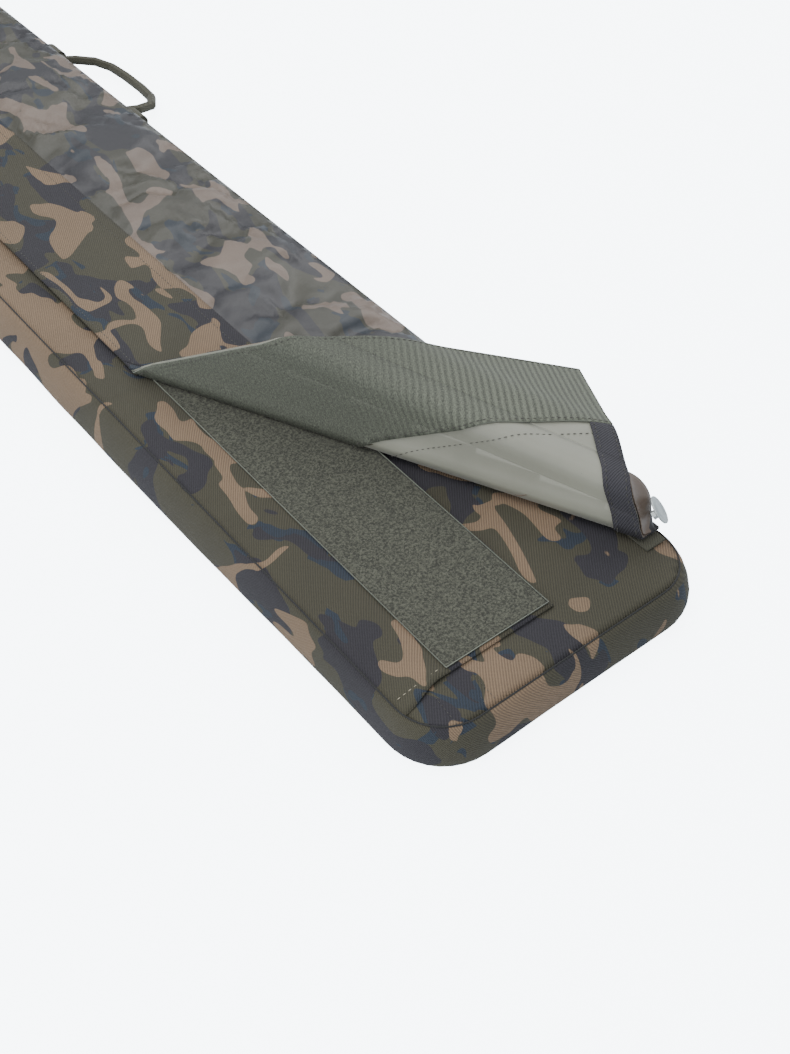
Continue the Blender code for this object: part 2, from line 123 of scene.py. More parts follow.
@dataclass
class Wiring:
    """Short calls that add and join nodes in one tree."""

    tree: bpy.types.NodeTree

    def add(self, kind: str, **settings: object) -> bpy.types.Node:
        """A new node, with its properties set."""
        node = self.tree.nodes.new(kind)
        for key, value in settings.items():
            setattr(node, key, value)
        return node

    def join(self, source: bpy.types.NodeSocket, target: bpy.types.NodeSocket) -> None:
        """Joins an output to an input."""
        self.tree.links.new(source, target)

    def put(self, socket: bpy.types.NodeSocket, value: object) -> None:
        """Joins or sets an input, whichever the value is."""
        if isinstance(value, bpy.types.NodeSocket):
            self.join(value, socket)
        else:
            socket.default_value = value

    def math(self, operation: str, first: object, second: object = 0.0,
             third: object = 0.0) -> bpy.types.NodeSocket:
        """The result of one Math node."""
        node = self.add("ShaderNodeMath", operation=operation)
        for socket, value in zip(node.inputs, (first, second, third)):
            self.put(socket, value)
        return node.outputs[0]

    def ramp(self, value: object, low: float, high: float, start: float = 0.0,
             stop: float = 1.0) -> bpy.types.NodeSocket:
        """A clamped smooth map of one range onto another."""
        node = self.add("ShaderNodeMapRange", interpolation_type="SMOOTHSTEP")
        for socket, given in zip(node.inputs, (value, low, high, start, stop)):
            self.put(socket, given)
        return node.outputs[0]

    def mix(self, factor: object, first: object, second: object, blend: str = "MIX") -> bpy.types.NodeSocket:
        """One colour over another."""
        node = self.add("ShaderNodeMix", data_type="RGBA", blend_type=blend)
        self.put(node.inputs["Factor"], factor)
        self.put(node.inputs[6], (*first, 1.0) if isinstance(first, tuple) else first)
        self.put(node.inputs[7], (*second, 1.0) if isinstance(second, tuple) else second)
        return node.outputs[2]

    def noise(self, vector: object, scale: float, detail: float = 2.0, distortion: float = 0.0,
              roughness: float = 0.5) -> bpy.types.NodeSocket:
        """The value of a Noise Texture."""
        node = self.add("ShaderNodeTexNoise")
        self.put(node.inputs["Vector"], vector)
        node.inputs["Scale"].default_value = scale
        node.inputs["Detail"].default_value = detail
        node.inputs["Roughness"].default_value = roughness
        node.inputs["Distortion"].default_value = distortion
        return node.outputs["Fac"]

    def placed(self, vector: object, offset: Point = (0.0, 0.0, 0.0), turn: Point = (0.0, 0.0, 0.0),
               scale: Point = (1.0, 1.0, 1.0)) -> bpy.types.NodeSocket:
        """Coordinates moved, turned and scaled."""
        node = self.add("ShaderNodeMapping")
        self.put(node.inputs["Vector"], vector)
        node.inputs["Location"].default_value = offset
        node.inputs["Rotation"].default_value = turn
        node.inputs["Scale"].default_value = scale
        return node.outputs[0]

    def group(self, tree: bpy.types.NodeTree, **values: object) -> bpy.types.Node:
        """A node group with its inputs joined or set; underscores stand for spaces."""
        node = self.add("ShaderNodeGroup", node_tree=tree)
        for key, value in values.items():
            self.put(node.inputs[key.replace("_", " ")], value)
        return node


def camouflage_group() -> bpy.types.NodeTree:
    """The print: rounded patches of three colours over a ground colour.

    Returns:
        A group that takes a place and four colours, and puts out the print's colour.
    """
    colours = ("Ground", "Dark", "Slate", "Tan")
    inputs = [("Vector", "NodeSocketVector")] + [(name, "NodeSocketColor") for name in colours]
    tree = group_tree("camouflage_print", inputs, [("Color", "NodeSocketColor")])
    wiring = Wiring(tree)
    source, sink = tree.nodes["in"], tree.nodes["out"]
    long_way = wiring.placed(source.outputs["Vector"], (3.1, 1.7, 0.4), (0.0, 0.0, 0.55), (1.35, 0.80, 1.0))
    values = []
    for offset, scale, distortion in (
        ((0.0, 0.0, 0.0), 17.0, 0.9),
        ((7.3, 2.9, 1.1), 30.0, 0.6),
        ((-4.7, 8.8, 2.3), 18.5, 0.8),
    ):
        moved = wiring.placed(long_way, offset)
        values.append(wiring.noise(moved, scale, 1.0, distortion, 0.40))
    charcoal, jagged, blobs = values
    beside = wiring.math("MULTIPLY", wiring.ramp(charcoal, 0.46, 0.464), wiring.ramp(jagged, 0.565, 0.569))
    colour = wiring.mix(beside, source.outputs["Ground"], source.outputs["Slate"])
    outside = wiring.ramp(jagged, 0.66, 0.664, 1.0, 0.0)
    dark = wiring.math("MULTIPLY", wiring.ramp(charcoal, 0.525, 0.529), outside)
    colour = wiring.mix(dark, colour, source.outputs["Dark"])
    colour = wiring.mix(wiring.ramp(blobs, 0.560, 0.564), colour, source.outputs["Tan"])
    wiring.join(colour, sink.inputs["Color"])
    return tree


def weave_group() -> bpy.types.NodeTree:
    """The rib weave of heavy cloth: raised yarns one way, broken up by the yarns that cross them.

    Returns:
        A group that takes a place, and the yarns per metre, and puts out a height and a shade.
    """
    inputs = [("Vector", "NodeSocketVector"), ("Yarns", "NodeSocketFloat")]
    tree = group_tree("rib_weave", inputs, [("Height", "NodeSocketFloat"), ("Shade", "NodeSocketFloat")])
    wiring = Wiring(tree)
    source, sink = tree.nodes["in"], tree.nodes["out"]
    parts = wiring.add("ShaderNodeSeparateXYZ")
    turned = wiring.placed(source.outputs["Vector"], turn=(0.0, 0.0, math.radians(38.0)))
    wiring.join(turned, parts.inputs[0])
    rounds = wiring.math("MULTIPLY", source.outputs["Yarns"], math.tau)
    slant = wiring.math("MULTIPLY_ADD", parts.outputs["Z"], 1.1, parts.outputs["X"])
    across = wiring.math("SINE", wiring.math("MULTIPLY", slant, rounds))
    beside = wiring.math("MULTIPLY_ADD", parts.outputs["Z"], 0.6, parts.outputs["Y"])
    along = wiring.math("SINE", wiring.math("MULTIPLY", beside, wiring.math("MULTIPLY", rounds, 1.6)))
    uneven = wiring.noise(source.outputs["Vector"], 700.0, 2.0)
    ribs = wiring.math("MULTIPLY_ADD", across, 0.32, 0.5)
    crossed = wiring.math("MULTIPLY_ADD", along, 0.12, ribs)
    height = wiring.math("ADD", crossed, wiring.math("MULTIPLY", uneven, 0.40))
    shade = wiring.ramp(height, 0.15, 1.10, 0.66, 1.30)
    wiring.join(height, sink.inputs["Height"])
    wiring.join(shade, sink.inputs["Shade"])
    return tree


def pile_group() -> bpy.types.NodeTree:
    """The clumped pile of loop tape, with dark gaps between pale clumps.

    Returns:
        A group that takes a place, and puts out a height and a shade.
    """
    tree = group_tree("loop_pile", [("Vector", "NodeSocketVector")],
                      [("Height", "NodeSocketFloat"), ("Shade", "NodeSocketFloat")])
    wiring = Wiring(tree)
    source, sink = tree.nodes["in"], tree.nodes["out"]
    clumps = wiring.noise(source.outputs["Vector"], 560.0, 2.0, 0.6, 0.65)
    fine = wiring.noise(source.outputs["Vector"], 1700.0, 1.0)
    height = wiring.math("MULTIPLY_ADD", fine, 0.35, clumps)
    shade = wiring.ramp(height, 0.52, 0.86, 0.45, 1.75)
    wiring.join(height, sink.inputs["Height"])
    wiring.join(shade, sink.inputs["Shade"])
    return tree


def soiling_group() -> bpy.types.NodeTree:
    """Soft uneven patches, where cloth is a little dustier or more worn.

    Returns:
        A group that takes a place, and puts out a shade near one.
    """
    tree = group_tree("soft_soiling", [("Vector", "NodeSocketVector")], [("Shade", "NodeSocketFloat")])
    wiring = Wiring(tree)
    source, sink = tree.nodes["in"], tree.nodes["out"]
    broad = wiring.noise(source.outputs["Vector"], 9.0, 4.0, 0.0, 0.6)
    wiring.join(wiring.ramp(broad, 0.3, 0.7, 0.90, 1.08), sink.inputs["Shade"])
    return tree


@dataclass
class ShaderKit:
    """The groups that more than one finish uses."""

    camouflage: bpy.types.NodeTree = field(default_factory=camouflage_group)
    weave: bpy.types.NodeTree = field(default_factory=weave_group)
    pile: bpy.types.NodeTree = field(default_factory=pile_group)
    soiling: bpy.types.NodeTree = field(default_factory=soiling_group)


# ---------------------------------------------------------------- finishes


@dataclass(frozen=True)
class Finish:
    """What every finish shares: a name, a roughness and where its pattern is placed."""

    name: str
    roughness: float = 0.8
    placement: Placement = Placement.OBJECT

    def start(self) -> tuple[bpy.types.Material, Wiring, bpy.types.Node, bpy.types.NodeSocket]:
        """A new material with its shader, and the coordinates its pattern reads."""
        made = bpy.data.materials.new(self.name)
        made.use_nodes = True
        wiring = Wiring(made.node_tree)
        shader = made.node_tree.nodes["Principled BSDF"]
        shader.inputs["Roughness"].default_value = self.roughness
        if self.placement is Placement.CLOTH:
            place = wiring.add("ShaderNodeUVMap", uv_map=UV_NAME).outputs[0]
        else:
            place = wiring.add("ShaderNodeTexCoord").outputs["Object"]
        return made, wiring, shader, place

    def raise_surface(self, wiring: Wiring, shader: bpy.types.Node, height: object, distance: float,
                      strength: float = 1.0) -> None:
        """Turns a height into the shader's normal."""
        bump = wiring.add("ShaderNodeBump")
        bump.inputs["Distance"].default_value = distance
        bump.inputs["Strength"].default_value = strength
        wiring.put(bump.inputs["Height"], height)
        wiring.join(bump.outputs[0], shader.inputs["Normal"])


@dataclass(frozen=True)
class PrintedCloth(Finish):
    """Camouflage cloth, heavy and ribbed, or thin and coated."""

    ground: Colour = (0.036, 0.0325, 0.019)
    dark: Colour = (0.0155, 0.0140, 0.0185)
    slate: Colour = (0.0120, 0.0190, 0.0300)
    tan: Colour = (0.145, 0.098, 0.060)
    yarns: float = 500.0
    relief: float = 0.45 * MM
    sheen: float = 0.03

    def build(self, kit: ShaderKit) -> bpy.types.Material:
        """Makes the material.

        Args:
            kit: The shared shader groups.

        Returns:
            The material.
        """
        made, wiring, shader, place = self.start()
        inks = {"Ground": self.ground, "Dark": self.dark, "Slate": self.slate, "Tan": self.tan}
        dyed = wiring.group(kit.camouflage, Vector=place, **{key: (*ink, 1.0) for key, ink in inks.items()})
        woven = wiring.group(kit.weave, Vector=place, Yarns=self.yarns)
        soiled = wiring.group(kit.soiling, Vector=place)
        shade = wiring.math("MULTIPLY", woven.outputs["Shade"], soiled.outputs["Shade"])
        colour = wiring.mix(1.0, dyed.outputs["Color"], shade, "MULTIPLY")
        wiring.join(colour, shader.inputs["Base Color"])
        shader.inputs["Sheen Weight"].default_value = self.sheen
        shader.inputs["Sheen Roughness"].default_value = 0.5
        self.raise_surface(wiring, shader, woven.outputs["Height"], self.relief)
        return made


@dataclass(frozen=True)
class LoopPile(Finish):
    """The mottled pile of loop tape."""

    colour: Colour = (0.048, 0.049, 0.036)

    def build(self, kit: ShaderKit) -> bpy.types.Material:
        """Makes the material from the shared groups and returns it."""
        made, wiring, shader, place = self.start()
        pile = wiring.group(kit.pile, Vector=place)
        colour = wiring.mix(1.0, self.colour, pile.outputs["Shade"], "MULTIPLY")
        wiring.join(colour, shader.inputs["Base Color"])
        shader.inputs["Sheen Weight"].default_value = 0.05
        self.raise_surface(wiring, shader, pile.outputs["Height"], 0.9 * MM)
        return made


@dataclass(frozen=True)
class HookRows(Finish):
    """Hook tape: rows of moulded hooks across its width, which look finer away from its end."""

    colour: Colour = (0.098, 0.106, 0.080)
    rows_per_metre: float = 178.0
    fade_start: float = -0.870
    fade_end: float = -0.690

    def build(self, kit: ShaderKit) -> bpy.types.Material:
        """Makes the material from the shared groups and returns it."""
        made, wiring, shader, place = self.start()
        parts = wiring.add("ShaderNodeSeparateXYZ")
        wiring.join(place, parts.inputs[0])
        wander = wiring.noise(wiring.placed(place, scale=(1.0, 0.15, 1.0)), 30.0, 1.0)
        along = wiring.math("MULTIPLY_ADD", wander, 0.0009, parts.outputs["Y"])
        turns = wiring.math("MULTIPLY", along, self.rows_per_metre * math.tau)
        rows = wiring.math("MULTIPLY_ADD", wiring.math("SINE", turns), 0.5, 0.5)
        grains = wiring.noise(wiring.placed(place, scale=(1.0, 1.7, 1.0)), 620.0, 3.0, 0.3, 0.75)
        share = wiring.ramp(parts.outputs["Y"], self.fade_start, self.fade_end, 0.30, 0.03)
        ribbed = wiring.math("MULTIPLY", rows, share)
        height = wiring.math("ADD", ribbed, wiring.math("MULTIPLY", grains, 1.2))
        shade = wiring.ramp(height, 0.36, 1.05, 0.35, 1.55)
        colour = wiring.mix(1.0, self.colour, shade, "MULTIPLY")
        wiring.join(colour, shader.inputs["Base Color"])
        self.raise_surface(wiring, shader, height, 0.9 * MM)
        return made


@dataclass(frozen=True)
class PlainCloth(Finish):
    """One colour of cloth: smooth coated lining, twill trim, webbing or thread."""

    colour: Colour = (0.205, 0.205, 0.165)
    yarns: float = 1100.0
    relief: float = 0.04 * MM
    contrast: float = 0.15
    sheen: float = 0.1

    def build(self, kit: ShaderKit) -> bpy.types.Material:
        """Makes the material from the shared groups and returns it."""
        made, wiring, shader, place = self.start()
        woven = wiring.group(kit.weave, Vector=place, Yarns=self.yarns)
        soiled = wiring.group(kit.soiling, Vector=place)
        yarn_shade = wiring.ramp(woven.outputs["Height"], 0.2, 0.9, 1.0 - self.contrast, 1.0 + self.contrast)
        shade = wiring.math("MULTIPLY", soiled.outputs["Shade"], yarn_shade)
        colour = wiring.mix(1.0, self.colour, shade, "MULTIPLY")
        wiring.join(colour, shader.inputs["Base Color"])
        shader.inputs["Sheen Weight"].default_value = self.sheen
        self.raise_surface(wiring, shader, woven.outputs["Height"], self.relief)
        return made


@dataclass(frozen=True)
class DullMetal(Finish):
    """Die-cast or pressed metal with a fine brushed grain."""

    colour: Colour = (0.46, 0.50, 0.50)

    def build(self, kit: ShaderKit) -> bpy.types.Material:
        """Makes the material from the shared groups and returns it."""
        made, wiring, shader, place = self.start()
        grain = wiring.noise(wiring.placed(place, scale=(1.0, 6.0, 1.0)), 700.0, 3.0)
        shader.inputs["Metallic"].default_value = 0.85
        wiring.join(wiring.ramp(grain, 0.3, 0.7, self.roughness - 0.08, self.roughness + 0.12),
                    shader.inputs["Roughness"])
        tint = wiring.ramp(grain, 0.3, 0.7, 0.88, 1.08)
        wiring.join(wiring.mix(1.0, self.colour, tint, "MULTIPLY"), shader.inputs["Base Color"])
        self.raise_surface(wiring, shader, grain, 0.05 * MM)
        return made


# ---------------------------------------------------------------- mesh helpers


def stand(name: str, shape: bmesh.types.BMesh, *materials: bpy.types.Material,
          smooth: bool = True) -> bpy.types.Object:
    """Puts a bmesh into the scene as a piece, in the frame's own place.

    Args:
        name: The piece's name.
        shape: The bmesh, which is freed.
        materials: The material slots, in order.
        smooth: Whether faces are shaded smooth.

    Returns:
        The new object.
    """
    mesh = bpy.data.meshes.new(name)
    for face in shape.faces:
        face.smooth = smooth
    shape.to_mesh(mesh)
    shape.free()
    for material in materials:
        mesh.materials.append(material)
    piece = bpy.data.objects.new(name, mesh)
    bpy.context.scene.collection.objects.link(piece)
    return piece


def flat_grid(low: Sequence[float], high: Sequence[float], height: float, cell: float) -> bmesh.types.BMesh:
    """A level grid between two corners.

    Args:
        low: The lowest X and Y.
        high: The highest X and Y.
        height: Its Z.
        cell: The side of a cell, about.

    Returns:
        The grid.
    """
    shape = bmesh.new()
    size = [high[i] - low[i] for i in (0, 1)]
    counts = [max(1, round(side / cell)) for side in size]
    bmesh.ops.create_grid(shape, x_segments=counts[0], y_segments=counts[1], size=0.5)
    middle = Vector(((low[0] + high[0]) / 2, (low[1] + high[1]) / 2, height))
    bmesh.ops.scale(shape, vec=(size[0], size[1], 1.0), verts=shape.verts[:])
    bmesh.ops.translate(shape, vec=middle, verts=shape.verts[:])
    return shape


def write_cloth_map(shape: bmesh.types.BMesh) -> None:
    """Stores each corner's flat X and Y, in metres, as the cloth map."""
    layer = shape.loops.layers.uv.new(UV_NAME)
    for face in shape.faces:
        for loop in face.loops:
            loop[layer].uv = loop.vert.co.xy


def edge_run(edge: bmesh.types.BMEdge) -> Vector:
    """The way from one end of an edge to the other."""
    return edge.verts[1].co - edge.verts[0].co


def trim(shape: bmesh.types.BMesh, point: Vector, normal: Vector) -> None:
    """Cuts away what lies on the side that the normal points to."""
    every = shape.verts[:] + shape.edges[:] + shape.faces[:]
    bmesh.ops.bisect_plane(shape, geom=every, dist=1e-6, plane_co=point, plane_no=normal, clear_outer=True)


def move_points(shape: bmesh.types.BMesh, rule: Callable[[Vector], Vector]) -> None:
    """Moves every point of a shape by a rule."""
    for vert in shape.verts:
        vert.co = rule(vert.co.copy())


def thicken(piece: bpy.types.Object, thickness: float, offset: float = -1.0, inner: int = 0,
            rim: int = 0) -> None:
    """Gives a sheet its thickness, with its far side and its rim in other material slots."""
    solid = piece.modifiers.new("thickness", "SOLIDIFY")
    solid.thickness = thickness
    solid.offset = offset
    solid.use_even_offset = False
    solid.material_offset = inner
    solid.material_offset_rim = rim


def smoothstep(value: float) -> float:
    """The usual smooth rise from 0 to 1."""
    held = min(1.0, max(0.0, value))
    return held * held * (3.0 - 2.0 * held)


def waver(place: Vector, scale: float, seed: float = 0.0) -> float:
    """Smooth noise from -1 to 1 that is the same each run."""
    return noise.noise(Vector((place.x * scale + seed, place.y * scale - seed, place.z * scale + 2.0 * seed)))


@dataclass(frozen=True)
class Case:
    """The case's own lines, read from the frame."""

    half_width: float
    half_length: float
    side: float
    corner: float
    seam_height: float

    @classmethod
    def read(cls) -> "Case":
        """Reads the seam ring and the walls."""
        low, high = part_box("seam_piping")
        _, wall_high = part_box("right_wall")
        return cls(high.x, high.y, wall_high.x, high.y - wall_high.y, (low.z + high.z) / 2)

    def from_seams(self, across: float, along: float, height: float = 0.0) -> Vector:
        """A place, from its distances to the left seam and to the butt seam."""
        return Vector((across - self.half_width, along - self.half_length, height))


# ---------------------------------------------------------------- stitches


@dataclass(frozen=True)
class Stitching:
    """Rows of short proud stitches."""

    pitch: float = 5.0 * MM
    length: float = 3.2 * MM
    width: float = 0.75 * MM

    def sew(self, shape: bmesh.types.BMesh, start: Vector, stop: Vector,
            keep: Callable[[Vector], bool] | None = None) -> None:
        """Adds a straight row of stitches to a bmesh.

        Args:
            shape: The bmesh that takes the stitches.
            start: The row's first point.
            stop: The row's last point.
            keep: Says whether a stitch at a point is wanted; all of them are, without it.
        """
        run = stop - start
        turn = Vector((1.0, 0.0, 0.0)).rotation_difference(run).to_matrix().to_4x4()
        size = Matrix.Diagonal((self.length / 2, self.width / 2, self.width / 2, 1.0))
        seed = bmesh.new()
        bmesh.ops.create_icosphere(seed, subdivisions=1, radius=1.0, matrix=turn @ size)
        template = bpy.data.meshes.new("stitch")
        seed.to_mesh(template)
        seed.free()
        for number in range(int(run.length // self.pitch)):
            centre = start + run * ((number + 0.5) * self.pitch / run.length)
            if keep is None or keep(centre):
                stitch = template.copy()
                stitch.transform(Matrix.Translation(centre))
                shape.from_mesh(stitch)
                bpy.data.meshes.remove(stitch)
        bpy.data.meshes.remove(template)


# ---------------------------------------------------------------- the peeled flap


BLEND_ROUNDS = 60
BEND_SIZES = ((18.0, 50.0, 4.0, 4.0), (22.0, 38.0, 17.0, 0.0), (36.0, 10.7, 18.0, 0.0))


@dataclass(frozen=True)
class Fold:
    """One bend of the flap: its bodies, its line on the closed flap, its angle and its easing."""

    fixed: str
    moving: str
    free: Vector
    hem: Vector
    angle: float
    width: float
    lean: float
    lead: float
    drop: float
    before: Matrix

    @property
    def axis(self) -> Vector:
        """The line's direction, about which the flap opens."""
        return (self.free - self.hem).normalized()

    @property
    def outward(self) -> Vector:
        """The level direction from the line towards the part that moves."""
        return Vector((0.0, 0.0, 1.0)).cross(self.axis)

    def turned(self, share: float) -> Matrix:
        """The turn about the line by a share of the angle."""
        move = Matrix.Translation(self.free)
        return move @ Matrix.Rotation(self.angle * share, 4, self.axis) @ move.inverted()

    def reach(self) -> tuple[Vector, Vector]:
        """The start and end points between which the cloth passes from one body to the other, at rest."""
        way = Matrix.Rotation(self.lean, 4, self.axis) @ self.outward
        span = self.width * math.cos(self.angle - self.lean) + self.lead * math.cos(self.lean)
        span += self.drop * math.sin(self.lean)
        start = self.free - self.outward * self.lead - Vector((0.0, 0.0, self.drop))
        return self.before @ start, self.before @ (start + way * span)

    @property
    def border(self) -> Vector:
        """A point on the line where this fold's stretch of cloth begins, just before it starts to bend."""
        return self.free - self.outward * (self.lead + 1.0 * MM)

    def opened(self, place: Vector) -> Vector:
        """Where a point of the closed flap lies when the flap is open.

        Args:
            place: A point past this fold's line on the closed flap.

        Returns:
            The point at rest, such that turning back by its blend weight closes it exactly.
        """
        start, stop = self.reach()
        way = stop - start
        share = 0.0
        for _ in range(BLEND_ROUNDS):
            moved = self.before @ (self.turned(share) @ place)
            wanted = smoothstep((moved - start).dot(way) / way.length_squared)
            share += 0.5 * (wanted - share)
        return self.before @ (self.turned(share) @ place)


def read_folds(record: dict) -> list[Fold]:
    """The flap's folds in order, from the joints of the record.

    Args:
        record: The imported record.

    Returns:
        One Fold for each joint of the flap's chain.
    """
    joints = {joint["name"]: joint for joint in record["behaviour"]["joints"]}
    folds: list[Fold] = []
    before = Matrix()
    for number, (width, lean, lead, drop) in enumerate(BEND_SIZES, start=1):
        joint = joints[f"flap_fold_{number}"]
        back = before.inverted()
        free = back @ Vector(joint["pos_m"])
        axis = -(back.to_3x3() @ Vector(joint["axis"]))
        hem = free - axis * 0.4
        angle = math.radians(joint["range_deg"][1])
        fold = Fold(joint["parent"], joint["child"], free, hem, angle, width * MM, math.radians(lean),
                    lead * MM, drop * MM, before.copy())
        folds.append(fold)
        before = before @ fold.turned(1.0)
    return folds


def lie_open(folds: list[Fold], place: Vector) -> Vector:
    """Where a point of the closed flap lies at rest, whichever stretch it is on."""
    passed = [fold for fold in folds if (place - fold.border).dot(fold.outward) > 0.0]
    return passed[-1].opened(place) if passed else place


@dataclass
class Flap:
    """The sleeve's flap: coated sheet, band, hook tape and hem, in one closed and three peeled stretches."""

    case: Case
    folds: list[Fold]
    finishes: dict[str, bpy.types.Material]
    cell: float = 5.0 * MM
    puff: float = 9.0 * MM
    end_inset: float = 0.046
    hem_width: float = 20.0 * MM
    simulated_frames: int = 20
    thread: Stitching = field(default_factory=Stitching)

    def stretches(self) -> Iterable[tuple[str, list[tuple[Vector, Vector]]]]:
        """Each stretch's suffix, and the planes that trim it."""
        first = self.folds[0]
        yield "upper", [(first.border, first.outward)]
        for number, fold in enumerate(self.folds):
            cuts = [(fold.border, -fold.outward)]
            cuts += [(later.border, later.outward) for later in self.folds[number + 1:number + 2]]
            yield str(number + 1), cuts

    def settle(self, shape: bmesh.types.BMesh, suffix: str) -> None:
        """Bends a closed shape's points to where they lie at rest."""
        if suffix == "upper":
            return
        fold = self.folds[int(suffix) - 1]
        move_points(shape, fold.opened)

    def attach(self, piece: bpy.types.Object, suffix: str, node: str | None) -> None:
        """Lets a finished piece of the closed stretch ride on the lid; a peeled piece is baked where it lies
        at rest, on no body.
        """
        if suffix == "upper":
            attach(piece, "lid")
        else:
            fold = self.folds[int(suffix) - 1]
            start, stop = fold.reach()
            tuple(start)
            tuple(stop)
            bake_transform(piece)
        if node:
            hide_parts(node)

    def layer(self, suffix: str, cuts: list[tuple[Vector, Vector]], low: Vector, high: Vector,
              cell: float) -> bmesh.types.BMesh:
        """One layer's closed sheet for one stretch, trimmed at its folds, with its cloth map.

        A stretch that bends has its cells in line with its fold, so that it bends smoothly.
        """
        if suffix == "upper":
            shape = flat_grid(low, high, high.z, cell)
        else:
            fold = self.folds[int(suffix) - 1]
            shape = flat_grid((-0.08, -0.03), (0.60, 0.50), 0.0, 1.0)
            for cuts_across, way in ((170, 1), (85, 0)):
                edges = [edge for edge in shape.edges if abs(edge_run(edge)[way]) < 1e-6]
                bmesh.ops.subdivide_edges(shape, edges=edges, cuts=cuts_across, use_grid_fill=True)
            hem = Vector((fold.hem.x, fold.hem.y, high.z))
            turn = Matrix((fold.axis, fold.outward, (0.0, 0.0, 1.0))).transposed().to_4x4()
            bmesh.ops.transform(shape, matrix=Matrix.Translation(hem) @ turn, verts=shape.verts[:])
            for point, normal in ((low, (-1, 0, 0)), (low, (0, -1, 0)), (high, (1, 0, 0)), (high, (0, 1, 0))):
                trim(shape, Vector(point), Vector(normal))
        for point, normal in cuts:
            trim(shape, Vector((point.x, point.y, 0.0)), normal)
        write_cloth_map(shape)
        return shape

    def extents(self, base: str) -> tuple[Vector, Vector]:
        """The box of one layer over all its stretches, on the closed flap."""
        low, high = (corner.copy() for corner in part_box(f"{base}_upper"))
        low.y = self.case.from_seams(0.0, self.end_inset).y
        if base == "hem":
            low.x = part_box("hook_tape_upper")[1].x + 1.0 * MM
        return low, high

    def sheet(self, suffix: str, cuts: list[tuple[Vector, Vector]]) -> bpy.types.Object:
        """The coated sheet: print outside, plain lining inside."""
        low, high = self.extents("flap_sheet")
        cell = self.cell if suffix != "upper" else 6.0 * MM
        shape = self.layer(suffix, cuts, low, high, cell)
        if suffix == "upper":
            move_points(shape, self.puffed(low, high))
        self.settle(shape, suffix)
        piece = stand(f"flap_cloth_{suffix}", shape, self.finishes["coated"], self.finishes["lining"])
        if suffix == "upper":
            self.billow(piece, low, high)
        thicken(piece, 0.7 * MM, -1.0, 1)
        self.attach(piece, suffix, f"flap_sheet_{suffix}")
        return piece

    def billow(self, piece: bpy.types.Object, low: Vector, high: Vector) -> None:
        """Lets the closed sheet settle as slack cloth between its seams, by a short cloth simulation.

        Args:
            piece: The closed sheet.
            low: The sheet's lowest corner.
            high: The sheet's highest corner.
        """
        mesh = piece.data
        first = self.folds[0]
        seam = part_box("flap_band_upper")[1].x
        start = [vert.co.copy() for vert in mesh.vertices]
        pins = piece.vertex_groups.new(name="pins")
        for vert in mesh.vertices:
            from_fold = -(vert.co - first.free).dot(first.outward)
            held = vert.co.x < seam or vert.co.x > high.x - 2.0 * MM or vert.co.y > high.y - 2.0 * MM
            if held or from_fold < 12.0 * MM:
                pins.add([vert.index], 1.0, "REPLACE")
        cloth = piece.modifiers.new("slack", "CLOTH")
        cloth.settings.quality = 6
        cloth.settings.mass = 0.2
        cloth.settings.tension_stiffness = 12.0
        cloth.settings.compression_stiffness = 12.0
        cloth.settings.bending_stiffness = 0.15
        cloth.settings.shrink_min = -0.045
        cloth.settings.vertex_group_mass = "pins"
        cloth.settings.use_pressure = True
        cloth.settings.uniform_pressure_force = 1.2
        cloth.settings.effector_weights.gravity = 0.0
        cloth.collision_settings.use_collision = False
        cloth.point_cache.frame_start = 1
        cloth.point_cache.frame_end = self.simulated_frames
        for number in range(1, self.simulated_frames + 1):
            bpy.context.scene.frame_set(number)
        settled = piece.evaluated_get(bpy.context.evaluated_depsgraph_get()).to_mesh()
        for vert, moved, flat in zip(mesh.vertices, settled.vertices, start):
            step = moved.co - flat
            room = 13.0 * MM + high.z - flat.z
            vert.co = flat + Vector((step.x, step.y, max(-0.6 * (flat.z - high.z), min(room, step.z))))
        piece.modifiers.remove(cloth)
        bpy.context.scene.frame_set(1)
        LOG.info("slack sheet: highest point %.4f", max(vert.co.z for vert in mesh.vertices))

    def puffed(self, low: Vector, high: Vector) -> Callable[[Vector], Vector]:
        """The rule that lifts the closed sheet into soft folds between its seams."""
        first = self.folds[0]
        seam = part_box("flap_band_upper")[1].x

        def rule(place: Vector) -> Vector:
            across = (place.x - seam) / (high.x - seam)
            if across <= 0.0:
                return place
            from_fold = -(place - first.free).dot(first.outward)
            hold = smoothstep(from_fold / 0.09) * smoothstep((high.y - place.y) / 0.06)
            crown = math.sin(math.pi * min(1.0, across)) ** 0.7
            drawn = Vector((place.x * 2.2 + place.y * 0.9, place.y * 0.55 - place.x * 0.7, 0.0))
            folds = 0.5 + 0.9 * waver(drawn, 11.0, 3.0) + 0.35 * waver(drawn, 27.0, 8.0)
            place.z += self.puff * crown * hold * max(0.05, folds)
            return place

        return rule

    def band(self, suffix: str, cuts: list[tuple[Vector, Vector]]) -> bpy.types.Object:
        """The heavy printed band along the free edge."""
        low, high = self.extents("flap_band")
        shape = self.layer(suffix, cuts, low, high, self.cell)
        if suffix == "upper":
            move_points(shape, self.eased(low, high))
        self.settle(shape, suffix)
        piece = stand(f"flap_facing_{suffix}", shape, self.finishes["camo_cloth"])
        thicken(piece, 0.9 * MM)
        self.attach(piece, suffix, f"flap_band_{suffix}")
        return piece

    def eased(self, low: Vector, high: Vector) -> Callable[[Vector], Vector]:
        """The rule that gives the closed band its slight rise and wave."""
        first = self.folds[0]

        def rule(place: Vector) -> Vector:
            from_fold = -(place - first.free).dot(first.outward)
            hold = smoothstep(from_fold / 0.06)
            across = (place.x - low.x) / (high.x - low.x)
            rise = 1.6 * MM * math.sin(math.pi * across) + 0.9 * MM * waver(place, 16.0, 5.0)
            place.z += hold * rise
            return place

        return rule

